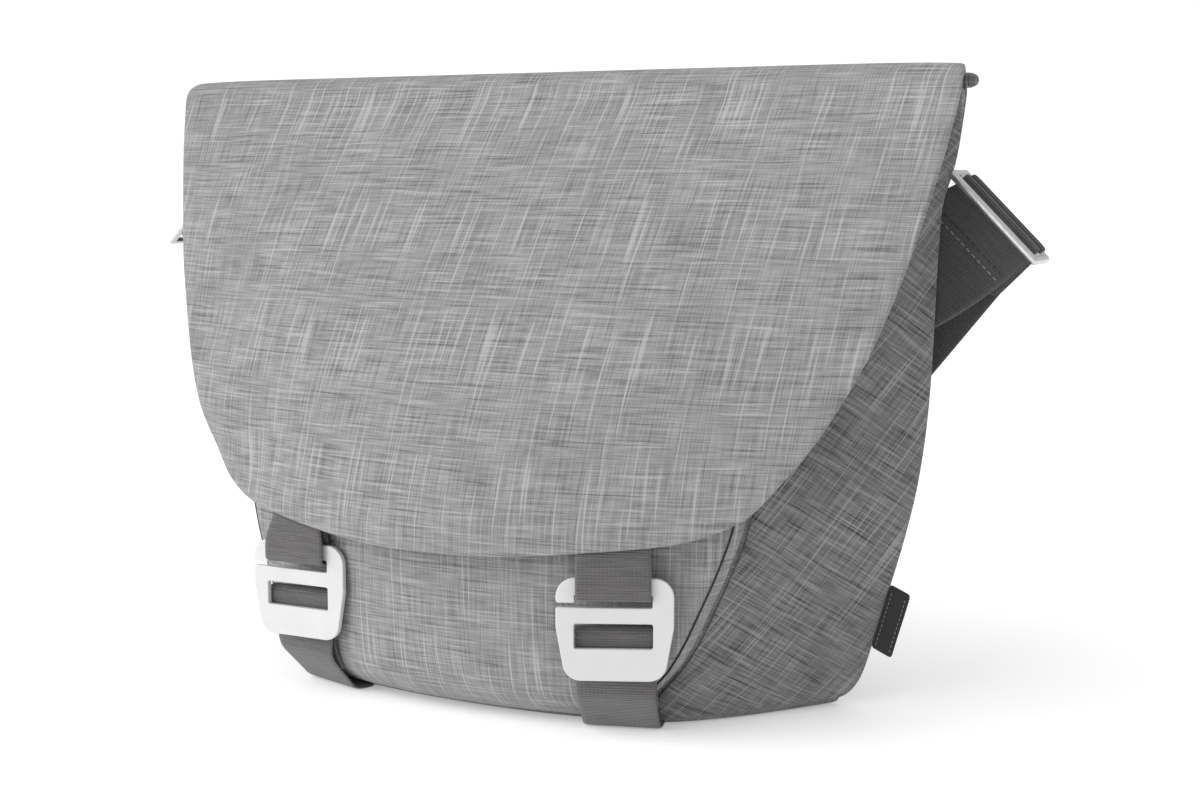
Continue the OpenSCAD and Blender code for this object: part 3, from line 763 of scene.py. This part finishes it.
def build_hook(name, side):
    """A cast plate with rounded edges, and behind it the recessed bar on two lugs."""
    curve = bpy.data.curves.new(name + "_plate_outline", "CURVE")
    curve.dimensions = "2D"
    curve.fill_mode = "BOTH"
    for outline in (hook_outline(), window_outline()):
        spline = curve.splines.new("POLY")
        spline.points.add(len(outline) - 1)
        for point, (x, z) in zip(spline.points, outline):
            point.co = (x * MM, z * MM, 0, 1)
        spline.use_cyclic_u = True
    curve.bevel_depth = 0.5 * MM
    curve.bevel_resolution = 3
    curve.extrude = (HOOK_T / 2 - 0.5) * MM
    curve.offset = -0.5 * MM
    holder = bpy.data.objects.new(name + "_outline_tmp", curve)
    bpy.context.scene.collection.objects.link(holder)
    graph = bpy.context.evaluated_depsgraph_get()
    mesh = bpy.data.meshes.new_from_object(holder.evaluated_get(graph))
    bpy.data.objects.remove(holder)
    bpy.data.curves.remove(curve)
    stand = Matrix.Translation((0, (-9.6 - HOOK_T / 2) * MM, 0)) @ Matrix.Rotation(math.radians(90), 4, "X")
    m = hook_station(side)
    world = Matrix.Translation(m.translation * MM) @ m.to_3x3().to_4x4()
    mesh.transform(world @ stand)
    body = name + "_g_hook"
    smooth_by_angle(add_object(name + "_hook_plate", mesh, PAINT, body, [name + "_hook"]))
    bar = placed(m, [(x, BAR_Y, BAR_Z) for x in (-24.4, 0, 21.4)])
    cord_piece(name + "_hook_bar", bar, 1.8, PAINT, body)
    for k, s in enumerate((-1, 1)):
        lug = [(s * 22.4 - 1.4, y, BAR_Z) for y in (-10.5, -7, BAR_Y + 1.2)]
        cord_piece("%s_hook_lug_%d" % (name, k), placed(m, lug), 1.1, PAINT, body)


def smooth_by_angle(obj, angle=35):
    for poly in obj.data.polygons:
        poly.use_smooth = True
    limit = math.radians(angle)
    obj.data.set_sharp_from_angle(angle=limit)


def build_loop(name, side):
    """The flap's webbing, folded round the hook's upper arm and sewn to itself under the flap."""
    front, back, low = -15.2, -8.2, HOOK_LOW + 38.6
    ring = [(back - 0.2, 96, 0), (back, 90, 0.3), (back, 84, 0.8), (back, 76, 1)]
    ring += [(y, z, 1) for y, z in arc(back - 1.5, low + 1.5, 1.5, 0, -90, 5)]
    ring += [(y, z, 1) for y, z in arc(front + 2.0, low + 2.0, 2.0, -90, -180, 6)]
    ring += [(front, 76, 1), (front + 0.2, 79, 1), (front + 1.1, 82, 0.9), (front + 2.7, 85, 0.7),
             (front + 4.4, 88, 0.5), (back - 1.7, 91.5, 0.3), (back - 1.8, 95, 0)]
    turned_band(name + "_loop_webbing", side, ring, 35.4, WEB_T, [name + "_loop"], "flap", -0.6)


# ---------------------------------------------------------------- the flap
def flap_surface(u, s, inset=0.0, depth=0.0):
    """A point on the flap: s from 0 at the low edge to 1 at the ridge's front, then over it to 2."""
    if s <= 1:
        low, high = FLAP_HALF[0][0] + inset, RIDGE_Z
        z = low + (high - low) * s
        x = u * (at(FLAP_HALF, z - inset * (1 - s)) - inset)
        return Vector((x, flap_y(x, z) + depth, z))
    a = math.radians(180 * (2 - s))
    r = RIDGE_R - depth
    bow = (1 - abs(u) ** 12) * 1.2 * math.sin(a)
    return Vector((u * (226 - inset - 8 * max(0, s - 1.25)), RIDGE_Y + r * math.cos(a),
                   RIDGE_Z + bow + r * math.sin(a)))


def flap_levels(steps):
    """Closer rows low down, where the outline turns quickly."""
    return [(k / steps) ** 2.1 for k in range(steps + 1)]


def flap_calm(u, s):
    """0 at the flap's edges and over the ridge, 1 in the open middle."""
    return min(1.0, (1 - abs(u)) * 9) * min(1.0, s * 8) * (1 if s <= 1 else max(0.0, 2 - s))


def flap_point(u, s, inset=0.0, depth=0.0):
    """The flap's surface with the cloth's slow ripple, which its lining follows."""
    p = flap_surface(u, s, inset, depth)
    return p + Vector((0, ripple(p.x, p.z, 1.3) * flap_calm(u, s), 0))


def build_flap():
    us = [math.sin(u * math.pi / 2) * 0.35 + u * 0.65 for u in spread(-1, 1, 71)]
    ridge = spread(1, 2, 11)[1:]
    levels = flap_levels(44)
    rows = []
    for s in levels + ridge:
        rows.append([flap_point(u, s) for u in us])
    piece = add_object("flap_cloth", grid_mesh("flap_cloth", rows, lean=0.3), CLOTH, "flap",
                       ["flap_outer", "flap_binding"])
    soften(piece, 1.6, 2.2, lambda co: co.z > 297 or flap_rim(co), 0.003)
    thicken(piece, 3.0, 1)
    under = [[flap_point(u, s, 7, 3.2 + 2.6 * flap_calm(u, s)) for u in spread(-1, 1, 61)]
             for s in flap_levels(40) + ridge]
    lining = add_object("flap_lining_cloth", grid_mesh("flap_lining_cloth", under), LINING, "flap",
                        ["flap_lining"])
    thicken(lining, 0.7, 0)


def flap_rim(co):
    """True close to the flap's free edge."""
    return co.z < 92 and abs(co.x) < 100 or abs(co.x) > at(FLAP_HALF, co.z) - 5


# ---------------------------------------------------------------- shoulder strap and fittings
def fitting(side):
    turn = Matrix.Rotation(math.radians(side * 45), 4, "Y")
    return Matrix.Translation((side * FIT.x, FIT.y, FIT.z)) @ turn


def build_fitting(name, side):
    m = fitting(side)
    radius = 3.1

    def looped(y, reach, flare):
        """Both plies as (t, y, z), from the far end up, over the bar and down again."""
        steps = spread(0.1, 1, 8)
        down = [(t, y - radius - flare * t, -reach * t) for t in reversed(steps)]
        turn = [(0, y + radius * math.cos(math.radians(a)), radius * math.sin(math.radians(a)))
                for a in spread(180, 0, 11)]
        return down + turn + [(t, y + radius + flare * t, -reach * t) for t in steps]

    def loop_band(piece_name, profile, curl, widen, body, node):
        rows = []
        for t, y, z in profile:
            grown = widen * min(1, max(0, 8 * t - 1))
            rows.append(placed(m, [
                (SLING_W * k - side * (curl * t * t + grown * max(0, -2 * side * k)), y, z)
                for k in spread(-0.5, 0.5, 9)]))
        piece = add_object(piece_name, grid_mesh(piece_name, rows), WEB_DARK, body, [node])
        thicken(piece, WEB_T, 1, 0.0)
    loop_band(name + "_anchor_webbing", looped(0, 66, -0.8), 10, 9, "bag", name + "_anchor")
    loop_band(name + "_strap_end_webbing", looped(10, 30, 0.7), 0, 0, name + "_frame", name + "_strap_end")
    for k, z in enumerate((-17, -20.5)):
        stitches("%s_anchor_stitch_%d" % (name, k), placed(m, [(x, -3.75, z) for x in spread(-23, 23, 24)]),
                 "bag", PALE_THREAD if k else THREAD)
    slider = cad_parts[name + "_slider"]
    slider.data.materials.clear()
    slider.data.materials.append(METAL)
    smooth_by_angle(slider)


SLING_Z, SLING_Y = 4, 130
SLING = [(220, 67, 227), (195, 67.4, 196), (169, 69, 164), (141, 73, 127), (119, 80, 87), (99, 91, 49),
         (76, 108, 19), (52, 122, 7), (30, SLING_Y, SLING_Z), (-50, SLING_Y, SLING_Z), (-112, SLING_Y, SLING_Z),
         (-132, 128, 7), (-150, 120, 17), (-164, 107, 36), (-175, 92, 66), (-183, 80, 104), (-190, 72, 146),
         (-200, 68, 188), (-220, 67, 227)]
SLING_ACROSS = [(0.71, 0, -0.71), (0.71, 0, -0.71), (0.75, 0, -0.66), (0.84, 0.05, -0.54), (0.88, 0.2, -0.42),
                (0.8, 0.5, -0.33), (0.55, 0.8, -0.18), (0.25, 0.96, -0.05), (0, 1, 0), (0, 1, 0), (0, 1, 0),
                (0.1, 0.99, 0), (0.35, 0.93, 0.1), (0.6, 0.75, 0.2), (0.8, 0.5, 0.28), (0.9, 0.2, 0.34),
                (0.86, 0.05, 0.5), (0.75, 0, 0.66), (0.71, 0, 0.71)]


def build_sling():
    path = smooth_path(SLING, 8)
    across = smooth_path(SLING_ACROSS, 8)
    piece = band_between(path, across, SLING_W, WEB_T, "sling_webbing", WEB_DARK, "bag",
                         ["shoulder_strap"], columns=11)
    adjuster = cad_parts["strap_adjuster"]
    adjuster.data.materials.clear()
    adjuster.data.materials.append(METAL)
    smooth_by_angle(adjuster)


def build_label():
    """A blank woven label standing out of the back seam, square to it."""
    def place(z, d):
        return (at(BACK_HALF, z) - 1 + d * 0.94, 49.4, z - d * 0.4)
    rows = [[place(z, d) for d in spread(0, 11.5, 6)] for z in spread(31, 64, 9)]
    sheet_piece("side_label_cloth", rows, 0.9, TAPE, "bag", ["side_label"])
    for k, d in enumerate((2.5, 9.8)):
        edge = [Vector(place(z, d)) + Vector((0, -0.75, 0)) for z in spread(33, 62, 12)]
        stitches("label_border_%d" % k, edge, "bag", PALE_THREAD, 1.6, 0.8, 0.15)


# ---------------------------------------------------------------- floor, light, camera
def build_stage():
    mesh = bpy.data.meshes.new("floor")
    half = 30.0
    corners = [(-half, -half, 0), (half, -half, 0), (half, half, 0), (-half, half, 0)]
    mesh.from_pydata(corners, [], [(0, 1, 2, 3)])
    floor = bpy.data.objects.new("floor", mesh)
    bpy.context.scene.collection.objects.link(floor)
    mat, _, shader = start_material("floor_white", 0.9, specular=0.1)
    shader.inputs["Base Color"].default_value = grey(0.97)
    shader.inputs["Emission Color"].default_value = (1, 1, 1, 1)
    shader.inputs["Emission Strength"].default_value = 0.26
    mesh.materials.append(mat)


def build_light():
    world = bpy.data.worlds.new("studio")
    bpy.context.scene.world = world
    world.use_nodes = True
    back = world.node_tree.nodes["Background"]
    back.inputs["Color"].default_value = (1, 1, 1, 1)
    path = world.node_tree.nodes.new("ShaderNodeLightPath")
    level = world.node_tree.nodes.new("ShaderNodeMapRange")
    level.inputs["To Min"].default_value = 0.68
    level.inputs["To Max"].default_value = 1.1
    world.node_tree.links.new(path.outputs["Is Camera Ray"], level.inputs["Value"])
    world.node_tree.links.new(level.outputs["Result"], back.inputs["Strength"])
    key = bpy.data.lights.new("key", "SUN")
    key.energy = 2.5
    key.angle = math.radians(70)
    lamp = bpy.data.objects.new("key", key)
    lamp.rotation_euler = Vector((0.66, 0.68, -0.42)).to_track_quat("-Z", "Y").to_euler()
    bpy.context.scene.collection.objects.link(lamp)
    bpy.context.scene.view_settings.view_transform = "Standard"


def build_camera():
    azimuth, elevation = math.radians(28), math.radians(7.2)
    target = Vector((59, -8, 153)) * MM
    away = Vector((math.sin(azimuth) * math.cos(elevation), -math.cos(azimuth) * math.cos(elevation),
                   math.sin(elevation)))
    data = bpy.data.cameras.new("camera")
    data.sensor_width = 36
    data.lens = 55.1
    camera = bpy.data.objects.new("camera", data)
    camera.location = target + away * 0.897
    camera.rotation_euler = (-away).to_track_quat("-Z", "Y").to_euler()
    bpy.context.scene.collection.objects.link(camera)
    bpy.context.scene.camera = camera


build_stage()
build_light()
build_camera()
build_front_panel()
build_gussets()
build_back()
build_base()
build_lining()
build_inside()
build_mouth()
build_pocket()
build_flap()
build_label()
build_sling()
for NAME, SIDE in (("left", -1), ("right", 1)):
    build_strap(NAME, SIDE)
    build_hook(NAME, SIDE)
    build_loop(NAME, SIDE)
    build_fitting(NAME, SIDE)
